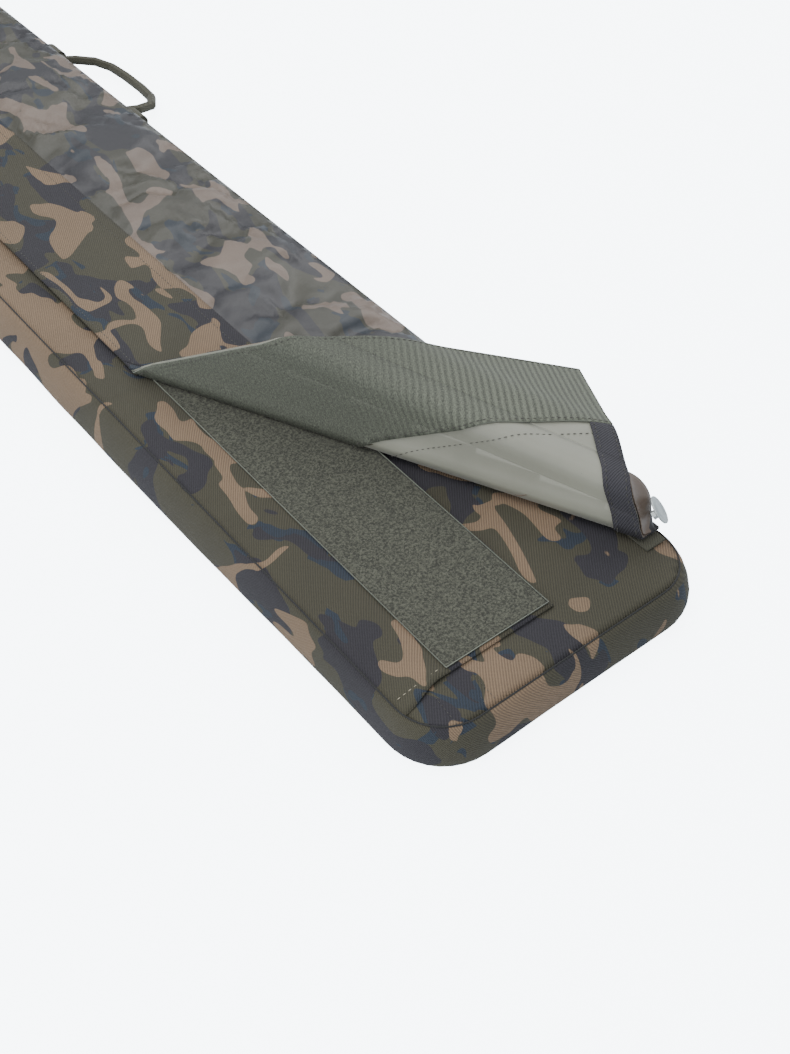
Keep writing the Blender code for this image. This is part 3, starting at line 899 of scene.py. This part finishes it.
    def tape(self, suffix: str, cuts: list[tuple[Vector, Vector]]) -> bpy.types.Object:
        """The hook tape under the band."""
        low, high = self.extents("hook_tape")
        shape = self.layer(suffix, cuts, low, high, 4.0 * MM)
        self.settle(shape, suffix)
        piece = stand(f"hook_strip_{suffix}", shape, self.finishes["hook"], self.finishes["tape_edge"])
        thicken(piece, 1.4 * MM, rim=1)
        self.attach(piece, suffix, f"hook_tape_{suffix}")
        return piece

    def hem(self, suffix: str, cuts: list[tuple[Vector, Vector]]) -> bpy.types.Object:
        """The twill hem inside the flap's end."""
        low, high = self.extents("hem")
        high.y = low.y + self.hem_width
        shape = self.layer(suffix, cuts, low, high, 3.0 * MM)
        self.settle(shape, suffix)
        piece = stand(f"hem_facing_{suffix}", shape, self.finishes["twill_cloth"])
        thicken(piece, 1.2 * MM)
        self.attach(piece, suffix, f"hem_{suffix}")
        return piece

    def stitches(self, suffix: str, cuts: list[tuple[Vector, Vector]]) -> bpy.types.Object | None:
        """The rows of stitches on one stretch of the flap, outside and inside."""
        low, high = self.extents("flap_band")
        tape_low, tape_high = self.extents("hook_tape")
        hem_low, hem_high = self.extents("hem")
        shape = bmesh.new()
        outside = high.z + 0.1 * MM
        inside = tape_low.z - 0.05 * MM
        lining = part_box("flap_sheet_upper")[0].z - 0.2 * MM
        rows = [
            (low.x + 5.0 * MM, outside), (high.x - 12.0 * MM, outside),
            (tape_low.x + 3.0 * MM, inside), (tape_high.x - 3.0 * MM, inside),
            (tape_high.x + 13.0 * MM, lining),
        ]

        def keep(place: Vector) -> bool:
            """Whether a stitch lies on this stretch."""
            return all((place - point).dot(normal) < -1.0 * MM for point, normal in cuts)

        for across, height in rows:
            first = Vector((across, low.y + 2.0 * MM, height))
            self.thread.sew(shape, first, Vector((across, high.y, height)), keep)
        for inset in (3.0 * MM, 17.0 * MM):
            first = Vector((hem_low.x, hem_low.y + inset, inside))
            self.thread.sew(shape, first, Vector((hem_high.x, hem_low.y + inset, inside)), keep)
        if not shape.verts:
            shape.free()
            return None
        if suffix == "upper":
            eased = self.eased(low, high)
            move_points(shape, lambda place: eased(place) if place.z > high.z - 1.0 * MM else place)
        self.settle(shape, suffix)
        piece = stand(f"flap_stitches_{suffix}", shape, self.finishes["thread"])
        self.attach(piece, suffix, None)
        return piece

    def build(self, corner: bpy.types.Object) -> None:
        sheets = []
        for suffix, cuts in self.stretches():
            pieces = [self.sheet(suffix, cuts), self.band(suffix, cuts), self.tape(suffix, cuts),
                      self.hem(suffix, cuts), self.stitches(suffix, cuts)]
            sheets.append(pieces[0])
            LOG.info("flap stretch %s: %s", suffix, [piece.name for piece in pieces if piece])
        low, high = self.extents("flap_sheet")
        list(sheets[1:])


# ---------------------------------------------------------------- the padded shell


WALL_OUTLINE = (
    (0.0, -0.05), (0.01, 0.10), (0.05, 0.28), (0.12, 0.45), (0.25, 0.66), (0.40, 0.83),
    (0.55, 0.95), (0.70, 1.0), (0.82, 0.98), (0.90, 0.90), (0.97, 0.72), (1.0, 0.45),
)
SPINE_ROW = 9


@dataclass
class Shell:
    """The lid's padded walls, its top panel, the near-black seam line of painted shadow, and the base under
    them.
    """

    case: Case
    finishes: dict[str, bpy.types.Material]
    step: float = 12.0 * MM
    wave: float = 0.9 * MM

    def profile(self) -> list[tuple[float, float]]:
        """The wall's outline from the seam down to the ground: outset from the seam line, and height."""
        bulge = self.case.side - self.case.half_width
        top = self.case.seam_height - 0.2 * MM
        return [(bulge * out, top + (0.6 * MM - top) * down) for down, out in WALL_OUTLINE]

    def round_the_case(self, shape: bmesh.types.BMesh, edges: list, corner: float) -> None:
        """Sweeps a row of edges, standing at the left side's butt end, once round the case."""
        straight_y = 2 * (self.case.half_length - corner)
        straight_x = 2 * (self.case.half_width - corner)
        geometry = edges
        heading = Vector((0.0, 1.0, 0.0))
        centre = Vector((-self.case.half_width + corner, self.case.half_length - corner, 0.0))
        for length in (straight_y, straight_x, straight_y, straight_x):
            steps = max(2, round(length / self.step))
            spun = bmesh.ops.spin(shape, geom=geometry, cent=(0, 0, 0), axis=(0, 0, 1), angle=0.0,
                                  dvec=heading * (length / steps), steps=steps, use_merge=False)
            spun = bmesh.ops.spin(shape, geom=spun["geom_last"], cent=centre, axis=(0, 0, -1),
                                  angle=math.pi / 2, steps=9, use_merge=False)
            geometry = spun["geom_last"]
            heading = Matrix.Rotation(-math.pi / 2, 3, "Z") @ heading
            centre = centre + heading * (straight_x if length == straight_y else straight_y)
        bmesh.ops.remove_doubles(shape, verts=shape.verts[:], dist=0.02 * MM)
        bmesh.ops.recalc_face_normals(shape, faces=shape.faces[:])

    def ring(self, rows: list[tuple[float, float]]) -> bmesh.types.BMesh:
        """A sheet with the given outline, swept round the case."""
        shape = bmesh.new()
        start_y = -self.case.half_length + self.case.corner
        verts = [shape.verts.new((-self.case.half_width - out, start_y, height)) for out, height in rows]
        edges = [shape.edges.new(pair) for pair in zip(verts, verts[1:])]
        self.round_the_case(shape, verts + edges, self.case.corner)
        return shape

    def fullness(self, place: Vector) -> float:
        """How far the padding pushes the wall out beyond its plain bulge, at its fullest height."""
        from_butt = place.y + self.case.half_length
        to_tip = self.case.half_length - place.y
        left = smoothstep(-place.x / (0.8 * self.case.half_width))
        along = (0.0045 + 0.0080 * smoothstep(from_butt / 0.45)) * smoothstep(to_tip / 0.10) * left
        at_butt = smoothstep(1.0 - from_butt / 0.05)
        return along * (1.0 - at_butt) + 0.0065 * at_butt

    def soften(self, place: Vector) -> Vector:
        """A wall point, pushed out by the padding and a little uneven, as padded cloth is."""
        bulge = self.case.side - self.case.half_width
        middle = Vector((max(-1.0, min(1.0, place.x / (self.case.half_width - self.case.corner))),
                         max(-1.0, min(1.0, place.y / (self.case.half_length - self.case.corner))), 0.0))
        core = Vector((middle.x * (self.case.half_width - self.case.corner),
                       middle.y * (self.case.half_length - self.case.corner), place.z))
        out = (place - core).normalized()
        share = min(1.0, max(0.0, ((place - core).length - self.case.corner) / bulge))
        return place + out * share * (self.fullness(place) + self.wave * (waver(place, 14.0, 1.0) - 0.2))

    def walls(self) -> None:
        """The padded wall cloth with a guard over the zip, and the spine cloth, baked where it lies."""
        rows = self.profile()
        top = rows[SPINE_ROW][1] + 0.2 * MM
        limit = self.case.half_length - self.case.corner + 1.0 * MM

        def behind(face: bmesh.types.BMFace) -> bool:
            """Whether a face belongs to the spine, low on the left side."""
            middle = face.calc_center_median()
            return middle.x < -self.case.half_width + 5.0 * MM and abs(middle.y) < limit and middle.z < top

        parts = []
        for wanted in (False, True):
            part = self.ring(rows)
            move_points(part, self.soften)
            others = [face for face in part.faces if behind(face) is not wanted]
            bmesh.ops.delete(part, geom=others, context="FACES")
            parts.append(part)
        shape, spine = parts
        wall = stand("wall_cloth", shape, self.finishes["camo"], self.finishes["lining_plain"])
        thicken(wall, 1.0 * MM, -1.0, 1)
        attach(wall, "lid")
        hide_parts("left_wall", "right_wall", "butt_end_wall", "tip_end_wall")
        cloth = stand("spine_cloth", spine, self.finishes["camo"], self.finishes["lining_plain"])
        thicken(cloth, 1.0 * MM, -1.0, 1)
        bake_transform(cloth)
        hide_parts("spine_binding")

    def top(self) -> None:
        """The lid's outer panel, crowned, and tucked down at its edge; the seam line of painted shadow round
        it comes from seam().
        """
        inset = 0.6 * MM
        low = Vector((-self.case.half_width + inset, -self.case.half_length + inset, 0.0))
        shape = self.rounded_sheet(low, -low, self.case.corner - inset, 7.0 * MM)
        base = self.case.seam_height - 0.3 * MM
        crown = 1.5 * MM

        def rule(place: Vector) -> Vector:
            near = min(self.case.half_width - abs(place.x), self.case.half_length - abs(place.y))
            rise = smoothstep(near / 0.030)
            tuck = 0.9 * MM * smoothstep(1.0 - near / 0.004)
            place.z = base + rise * (crown + 0.8 * MM * waver(place, 13.0, 2.0)) - tuck
            return place

        move_points(shape, rule)
        panel = stand("top_panel", shape, self.finishes["camo"])
        thicken(panel, 1.0 * MM)
        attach(panel, "lid")
        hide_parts("lid_panel")

    def rounded_sheet(self, low: Vector, high: Vector, corner: float, cell: float) -> bmesh.types.BMesh:
        """A level sheet with round corners, in cells, its outline smooth."""
        shape = flat_grid(low, high, 0.0, cell)
        for sign_x in (-1, 1):
            for sign_y in (-1, 1):
                centre = Vector((sign_x * (high.x - corner), sign_y * (high.y - corner), 0.0))
                for number in range(12):
                    angle = math.radians(3.75 + 7.5 * number)
                    normal = Vector((sign_x * math.cos(angle), sign_y * math.sin(angle), 0.0))
                    trim(shape, centre + normal * corner, normal)
        return shape

    def seam(self) -> None:
        """A thin near-black tube round the seam where the panel and the wall are sewn together: painted
        shadow of the seam's groove.
        """
        radius = 0.65 * MM
        shape = bmesh.new()
        circle = bmesh.ops.create_circle(shape, segments=8, radius=radius)
        start = self.case.from_seams(0.0, self.case.corner, self.case.seam_height)
        turn = Matrix.Rotation(math.pi / 2, 4, "X")
        bmesh.ops.transform(shape, matrix=Matrix.Translation(start) @ turn, verts=circle["verts"])
        self.round_the_case(shape, shape.verts[:] + shape.edges[:], self.case.corner)
        move_points(shape, lambda place: place + Vector((0.0, 0.0, 0.25 * MM * waver(place, 60.0, 4.0))))
        # The near-black seam material is painted shadow for the seam's groove, not a dark thread.
        line = stand("seam_line", shape, self.finishes["seam"])
        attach(line, "lid")
        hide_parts("seam_piping")

    def base(self) -> None:
        """Dresses the base's layers, the zip and the straps inside."""
        for node, key in (("back_panel", "webbing"), ("back_foam", "foam"), ("back_lining", "lining_plain"),
                          ("lid_lining", "lining_plain"), ("lid_foam", "foam"), ("zip_strip_back", "zip"),
                          ("zip_strip_lid", "zip"), ("rod_strap_1", "webbing"), ("rod_strap_2", "webbing"),
                          ("rod_strap_3", "webbing"), ("pocket_gusset", "camo"), ("snap_tab", "webbing")):
            dress(node, self.finishes[key])

    def build(self) -> None:
        """Builds the shell."""
        self.walls()
        self.top()
        self.seam()
        self.base()


def dress(node: str, material: bpy.types.Material) -> None:
    """Gives a CAD node's object another material."""
    piece = bpy.data.objects[node]
    piece.data.materials.clear()
    piece.data.materials.append(material)


# ---------------------------------------------------------------- placket and loop tape


@dataclass
class PocketFront:
    """What the flap closes onto: the printed placket with its hem, and the loop tape."""

    case: Case
    finishes: dict[str, bpy.types.Material]
    thread: Stitching = field(default_factory=Stitching)

    def placket_height(self, place: Vector) -> float:
        """The placket's height: up from the left seam, level under the tape."""
        low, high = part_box("placket")
        tape_low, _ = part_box("loop_tape")
        across = (place.x - low.x) / (tape_low.x - low.x)
        level = high.z + 0.1 * MM
        seam = self.case.seam_height + 0.3 * MM
        lift = smoothstep(across) * (level - seam) + 1.2 * MM * math.sin(math.pi * min(1.0, max(0.0, across)))
        return seam + lift

    def placket(self) -> None:
        """The placket, hemmed at the butt end."""
        low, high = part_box("placket")
        low.x = -self.case.half_width + 0.5 * MM
        shape = flat_grid(low, high, high.z, 5.0 * MM)

        def rule(place: Vector) -> Vector:
            near = 1.0 - min(1.0, (place.y - low.y) / 0.05)
            across = place.x - low.x
            drop = 0.0075 * (1.0 - smoothstep(across / 0.040)) - 0.0012 * smoothstep(across / 0.06)
            place.y -= near * drop
            lift = 1.0 * MM * smoothstep(near) * math.sin(math.pi * smoothstep(across / 0.060))
            place.z = self.placket_height(place) + lift
            return place

        move_points(shape, rule)
        piece = stand("placket_cloth", shape, self.finishes["camo"])
        thicken(piece, 1.4 * MM)
        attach(piece, "lid")
        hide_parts("placket")
        rows = bmesh.new()
        along = low.y + 6.5 * MM
        tape_low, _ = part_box("loop_tape")
        first = Vector((low.x + 4.0 * MM, along, 0.0))
        self.thread.sew(rows, first, Vector((tape_low.x, along + 1.0 * MM, 0.0)))
        move_points(rows, lambda place: place + Vector((0.0, 0.0, self.placket_height(place) + 0.5 * MM)))
        stitches = stand("placket_stitches", rows, self.finishes["thread_pale"])
        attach(stitches, "lid")

    def tape(self) -> None:
        """The loop tape: a deep uneven pile where the flap is open, and a plain one under it."""
        low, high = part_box("loop_tape")
        split = low.y + 0.47
        for name, start, stop, cell in (("loop_pile_open", low.y, split, 1.6 * MM),
                                        ("loop_pile_covered", split, high.y, 8.0 * MM)):
            shape = flat_grid((low.x, start), (high.x, stop), high.z, cell)

            def rule(place: Vector) -> Vector:
                rim = min(place.x - low.x, high.x - place.x, place.y - low.y)
                depth = smoothstep(rim / (2.5 * MM))
                tuft = 0.45 * waver(place, 420.0, 9.0) + 0.35 * waver(place, 190.0, 4.0)
                tuft += 0.3 * waver(place, 40.0, 2.0)
                place.z += (0.9 * MM * (0.3 + tuft)) * depth - 0.8 * MM
                return place

            move_points(shape, rule)
            piece = stand(name, shape, self.finishes["loop"], self.finishes["tape_edge"])
            thicken(piece, 1.5 * MM, -1.0, 1)
            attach(piece, "lid")
            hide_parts("loop_tape")
        self.selvedge(low, high)

    def selvedge(self, low: Vector, high: Vector) -> None:
        """The woven pale edges of the loop tape."""
        shape = bmesh.new()
        radius = 0.45 * MM
        rim = high.z - 0.2 * MM
        for start, stop in (((low.x, low.y), (low.x, high.y)), ((high.x, low.y), (high.x, high.y)),
                            ((low.x, low.y), (high.x, low.y))):
            run = Vector((*stop, rim)) - Vector((*start, rim))
            turn = Vector((0.0, 0.0, 1.0)).rotation_difference(run).to_matrix().to_4x4()
            middle = Matrix.Translation(Vector((*start, rim)) + run / 2)
            bmesh.ops.create_cone(shape, cap_ends=True, segments=6, radius1=radius, radius2=radius,
                                  depth=run.length, matrix=middle @ turn)
        piece = stand("loop_tape_selvedge", shape, self.finishes["tape_edge"])
        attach(piece, "lid")

    def base_stitches(self) -> None:
        """The dashed rows that quilt the base panel's end, below the placket's hem."""
        shape = bmesh.new()
        fine = Stitching(3.6 * MM, 2.4 * MM, 0.4 * MM)
        level = self.case.seam_height + 1.2 * MM
        for start, stop in (((0.0249, 0.003), (0.0281, 0.033)), ((0.0604, 0.004), (0.0631, 0.038)),
                            ((0.0512, 0.002), (0.0543, 0.015))):
            fine.sew(shape, self.case.from_seams(*start, level), self.case.from_seams(*stop, level))
        piece = stand("panel_stitches", shape, self.finishes["thread"])
        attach(piece, "lid")

    def build(self) -> None:
        """Builds the placket, the tape and their stitches."""
        self.placket()
        self.tape()
        self.base_stitches()


# ---------------------------------------------------------------- hardware


STUD_OUTLINE = (
    (0.0, 0.9), (0.25, 0.9), (0.45, 0.75), (0.52, 1.15), (0.60, 1.15), (0.67, 0.7), (0.86, 0.6),
    (0.92, 1.0), (0.98, 0.75), (1.0, 0.2), (0.97, -0.6), (0.88, -1.0), (0.0, -1.0),
)


@dataclass
class Hardware:
    """The press stud, the raised corner under it, the rings, handles and zip pieces."""

    case: Case
    finishes: dict[str, bpy.types.Material]

    def stud(self) -> None:
        """The press stud's cap: a shallow dome with a rolled rim and one raised ring."""
        low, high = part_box("snap_cap")
        post_low, post_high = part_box("snap_post")
        centre = (low + high) / 2
        facing = (centre - (post_low + post_high) / 2).normalized()
        radius = 12.0 * MM
        centre += Vector((-2.0 * MM, 0.0, 3.0 * MM))
        shape = bmesh.new()
        verts = [shape.verts.new((share * radius, 0.0, rise * MM)) for share, rise in STUD_OUTLINE]
        edges = [shape.edges.new(pair) for pair in zip(verts, verts[1:])]
        bmesh.ops.spin(shape, geom=verts + edges, cent=(0, 0, 0), axis=(0, 0, 1), angle=math.tau, steps=48,
                       use_merge=True)
        bmesh.ops.remove_doubles(shape, verts=shape.verts[:], dist=0.01 * MM)
        bmesh.ops.recalc_face_normals(shape, faces=shape.faces[:])
        turn = Vector((0.0, 0.0, 1.0)).rotation_difference(facing).to_matrix().to_4x4()
        bmesh.ops.transform(shape, matrix=Matrix.Translation(centre) @ turn, verts=shape.verts[:])
        piece = stand("press_stud_cap", shape, self.finishes["metal"])
        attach(piece, "lid")
        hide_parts("snap_cap")

    def corner_fold(self, folds: list[Fold]) -> bpy.types.Object:
        """The coated cloth that rolls over at the flap's lower right corner, up to the stud."""
        _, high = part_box("flap_corner_fold")
        shape = bmesh.new()
        bmesh.ops.create_grid(shape, x_segments=24, y_segments=40, size=0.5)
        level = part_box("flap_sheet_upper")[1].z
        fold = folds[0]
        end = self.case.from_seams(0.251, 0.046, level)
        depth = 0.120
        climb = 0.057
        foot_share = 0.7
        mouth = 0.008
        bulge_way = Vector((0.86, -0.12, 0.50))

        def rule(place: Vector) -> Vector:
            across, along = place.x + 0.5, depth * (place.y + 0.5) ** 1.6
            fade = 1.0 - smoothstep(along / depth)
            foot = end + fold.axis * along
            left = max(0.0, 1.0 - across / foot_share)
            against = lie_open(folds, foot - Vector((climb * fade * left, 0.0, 0.0)))
            inward = 4.0 * MM * (1.0 - smoothstep(along / 0.03))
            seam_side = Vector((high.x - inward, foot.y, level + 0.2 * MM))
            past = max(0.0, (across - foot_share) / (1.0 - foot_share))
            closed = against.lerp(seam_side, past)
            top = lie_open(folds, foot - Vector((climb * fade, 0.0, 0.0)))
            swell = 0.0115 * fade * math.sin(math.pi * across) ** 0.8
            full = top.lerp(seam_side, across) + bulge_way * swell
            full += bulge_way * (0.0016 * fade * waver(full, 75.0, 5.0) * math.sin(math.pi * across))
            spot = closed.lerp(full, smoothstep(0.15 + 0.85 * along / mouth) if along < mouth else 1.0)
            spot.z = max(spot.z, level + 0.2 * MM)
            return spot

        move_points(shape, rule)
        write_cloth_map(shape)
        bmesh.ops.recalc_face_normals(shape, faces=shape.faces[:])
        piece = stand("flap_corner_roll", shape, self.finishes["coated_corner"])
        thicken(piece, 0.8 * MM, 0.0)
        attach(piece, "lid")
        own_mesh(piece)
        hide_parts("flap_corner_fold")
        return piece

    def dress_all(self) -> None:
        """Finishes for the carried-over metal, webbing and zip pieces."""
        for node in ("zip_slider_butt", "zip_slider_tip", "d_ring_butt", "d_ring_tip", "snap_post"):
            dress(node, self.finishes["metal"])
        for node in ("zip_pull_butt", "zip_pull_tip"):
            dress(node, self.finishes["zip"])
        for node in ("carry_handle", "grab_loop", "handle_tab_butt", "handle_tab_tip", "loop_tab_left",
                     "loop_tab_right", "ring_tab_butt", "ring_tab_tip"):
            dress(node, self.finishes["webbing"])

    def build(self, folds: list[Fold]) -> bpy.types.Object:
        """Builds the stud and the corner, dresses the rest, and returns the corner."""
        self.stud()
        self.dress_all()
        return self.corner_fold(folds)


# ---------------------------------------------------------------- studio


@dataclass
class Studio:
    """A pale floor, soft light and the camera."""

    case: Case
    lens: float = 45.97
    heading: float = 38.18
    dip: float = 46.64
    stand_point: Point = (-0.3459, -0.3976, 0.7790)
    glow: float = 7.0

    def camera(self) -> None:
        """The camera, from the left and the butt end, looking down along the case."""
        data = bpy.data.cameras.new("camera")
        data.lens = self.lens
        data.sensor_width = 36.0
        data.clip_start = 0.01
        camera = bpy.data.objects.new("camera", data)
        bpy.context.scene.collection.objects.link(camera)
        across, along, height = self.stand_point
        camera.location = self.case.from_seams(across, along, height + self.case.seam_height)
        camera.rotation_euler = (math.radians(90.0 - self.dip), 0.0, math.radians(-self.heading))
        bpy.context.scene.camera = camera

    def floor(self) -> None:
        """A plain pale floor."""
        shape = bmesh.new()
        bmesh.ops.create_grid(shape, x_segments=1, y_segments=1, size=12.0)
        bmesh.ops.translate(shape, vec=(0.0, 0.0, -0.2 * MM), verts=shape.verts[:])
        made = bpy.data.materials.new("studio_floor")
        made.use_nodes = True
        shader = made.node_tree.nodes["Principled BSDF"]
        shader.inputs["Base Color"].default_value = (0.80, 0.84, 0.88, 1.0)
        shader.inputs["Roughness"].default_value = 0.9
        shader.inputs["Emission Color"].default_value = (0.88, 0.95, 1.0, 1.0)
        wiring = Wiring(made.node_tree)
        seen = wiring.add("ShaderNodeLightPath").outputs["Is Camera Ray"]
        wiring.join(wiring.math("MULTIPLY", seen, self.glow), shader.inputs["Emission Strength"])
        floor = stand("studio_floor", shape, made, smooth=False)

    def lamp(self, name: str, place: Point, target: Point, size: float, power: float) -> None:
        """One large soft area light, aimed at a point."""
        data = bpy.data.lights.new(name, "AREA")
        data.size = size
        data.energy = power
        lamp = bpy.data.objects.new(name, data)
        bpy.context.scene.collection.objects.link(lamp)
        lamp.location = place
        lamp.rotation_euler = (Vector(target) - Vector(place)).to_track_quat("-Z", "Y").to_euler()

    def build(self) -> None:
        """Sets up the camera, the floor, the lights and the world."""
        self.camera()
        self.floor()
        butt = (0.0, -self.case.half_length + 0.3, 0.0)
        self.lamp("key", (-0.6, -0.4, 2.2), butt, 1.6, 34.0)
        self.lamp("rim", (1.6, 0.3, 1.6), butt, 1.6, 22.0)
        self.lamp("far", (0.2, 1.4, 2.4), (0.0, 0.6, 0.0), 1.8, 26.0)
        self.lamp("fill", (-1.5, -1.3, 0.7), butt, 1.4, 16.0)
        world = bpy.data.worlds.new("studio_sky")
        world.use_nodes = True
        sky = world.node_tree.nodes["Background"]
        sky.inputs["Color"].default_value = (0.90, 0.95, 1.0, 1.0)
        sky.inputs["Strength"].default_value = 0.85
        bpy.context.scene.world = world


# ---------------------------------------------------------------- main


def make_finishes(kit: ShaderKit) -> dict[str, bpy.types.Material]:
    """Every finish, by a short name.

    Args:
        kit: The shared shader groups.

    Returns:
        The materials.
    """
    coated = {"ground": (0.030, 0.028, 0.018), "dark": (0.013, 0.012, 0.015), "slate": (0.011, 0.016, 0.023),
              "tan": (0.115, 0.086, 0.066), "relief": 0.03 * MM, "yarns": 1500.0, "sheen": 0.0}
    cloth = Placement.CLOTH
    made = {
        "camo": PrintedCloth("heavy_camouflage", 0.85),
        "camo_cloth": PrintedCloth("heavy_camouflage_on_flap", 0.85, cloth),
        "coated": PrintedCloth("coated_camouflage", 0.40, cloth, **coated),
        "coated_corner": PrintedCloth("coated_camouflage_at_corner", 0.40, cloth,
                                      **(coated | {"ground": coated["tan"]})),
        "lining": PlainCloth("smooth_lining", 0.55, cloth, relief=0.01 * MM, contrast=0.03),
        "lining_plain": PlainCloth("inner_lining", 0.6, relief=0.02 * MM, contrast=0.04),
        "loop": LoopPile("loop_pile", 0.95),
        "tape_edge": PlainCloth("tape_selvedge", 0.9, colour=(0.15, 0.16, 0.13), contrast=0.35,
                                relief=0.3 * MM),
        "hook": HookRows("hook_rows", 0.75, cloth),
        "twill_cloth": PlainCloth("hem_twill", 0.85, cloth, (0.024, 0.023, 0.028), 520.0, 0.5 * MM, 0.55,
                                  0.0),
        # Near-black seam colour: painted shadow in the seam's groove, not a thread colour.
        "seam": PlainCloth("seam_groove_painted_shadow", 0.9, colour=(0.010, 0.010, 0.010)),
        "thread": PlainCloth("dark_thread", 0.8, cloth, (0.045, 0.043, 0.036)),
        "thread_pale": PlainCloth("pale_thread", 0.8, colour=(0.30, 0.27, 0.20)),
        "webbing": PlainCloth("webbing", 0.85, colour=(0.040, 0.038, 0.024), yarns=520.0, relief=0.4 * MM,
                              contrast=0.3),
        "foam": PlainCloth("foam", 0.9, colour=(0.20, 0.20, 0.20)),
        "zip": PlainCloth("zip_nylon", 0.6, colour=(0.018, 0.018, 0.018), yarns=420.0, relief=0.5 * MM,
                          contrast=0.4),
        "metal": DullMetal("pressed_metal", 0.42),
    }
    return {key: finish.build(kit) for key, finish in made.items()}


def main() -> None:
    """Builds the looks in order."""
    logging.basicConfig(level=logging.INFO, stream=sys.stdout, format="%(message)s")
    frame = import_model()
    finishes = make_finishes(ShaderKit())
    case = Case.read()
    LOG.info("case %s", case)
    folds = read_folds(frame["record"])
    Shell(case, finishes).build()
    PocketFront(case, finishes).build()
    corner = Hardware(case, finishes).build(folds)
    Flap(case, folds, finishes).build(corner)
    Studio(case).build()


if __name__ == "__main__":
    main()
